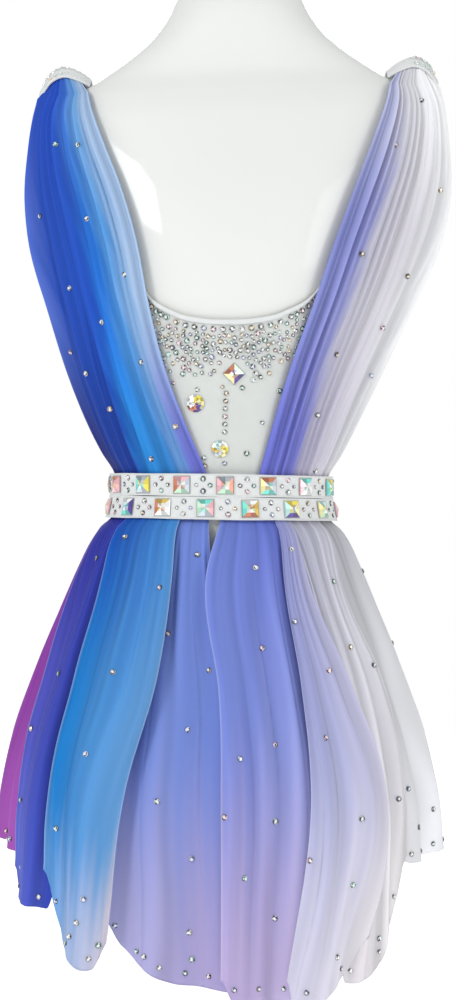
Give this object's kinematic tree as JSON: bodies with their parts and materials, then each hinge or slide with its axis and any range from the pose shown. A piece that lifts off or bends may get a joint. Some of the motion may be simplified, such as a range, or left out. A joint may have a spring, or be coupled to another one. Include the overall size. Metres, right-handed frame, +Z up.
{
  "type": "figure skating dress on a dress form",
  "caption": "Ombre figure skating dress with gathered mesh drapes, a stone-set belt and a petal skirt, on a white limbless dress form with a stand.",
  "frame": {"origin": "centre of the base's flat underside, on the floor", "axes": "+Z up; the dress's back faces -Y and its front faces +Y; +X is the wearer's right, the white side"},
  "size_m": [0.4168, 0.3487, 1.026],
  "materials": {
    "stretch_white": "matte",
    "binding_white": "satin",
    "mesh_blue": "satin",
    "mesh_lilac": "satin",
    "mesh_magenta": "satin",
    "mesh_royal": "satin",
    "mesh_azure": "satin",
    "mesh_periwinkle": "satin",
    "mesh_lavender": "satin",
    "mesh_pale": "satin",
    "mesh_white": "satin",
    "mesh_pink": "satin",
    "mesh_rose": "satin",
    "crystal": "polished",
    "form_plastic": "gloss",
    "stand_metal": "satin"
  },
  "bodies": {
    "root": {"form_torso": "form_plastic", "form_pole": "stand_metal", "form_base": "stand_metal", "leotard_back": "stretch_white", "leotard_front": "stretch_white", "neck_binding_back": "binding_white", "neck_binding_front": "binding_white", "brief_back": "stretch_white", "brief_front": "stretch_white", "brief_gusset": "stretch_white", "shoulder_band_left": "binding_white", "shoulder_band_right": "binding_white", "drape_back_left": "mesh_blue", "drape_back_right": "mesh_lilac", "drape_front_left": "mesh_magenta", "drape_front_right": "mesh_white", "belt_lower": "binding_white", "belt_upper": "binding_white", "petal_magenta": "mesh_magenta", "petal_royal": "mesh_royal", "petal_azure": "mesh_azure", "petal_periwinkle_left": "mesh_periwinkle", "petal_periwinkle_right": "mesh_periwinkle", "petal_lavender": "mesh_lavender", "petal_pale": "mesh_pale", "petal_white": "mesh_white", "petal_front_1": "mesh_white", "petal_front_2": "mesh_pink", "petal_front_3": "mesh_pink", "petal_front_4": "mesh_rose", "petal_front_5": "mesh_magenta", "stone_square": "crystal", "stone_round_upper": "crystal", "stone_round_lower": "crystal"}
  },
  "joints": []
}
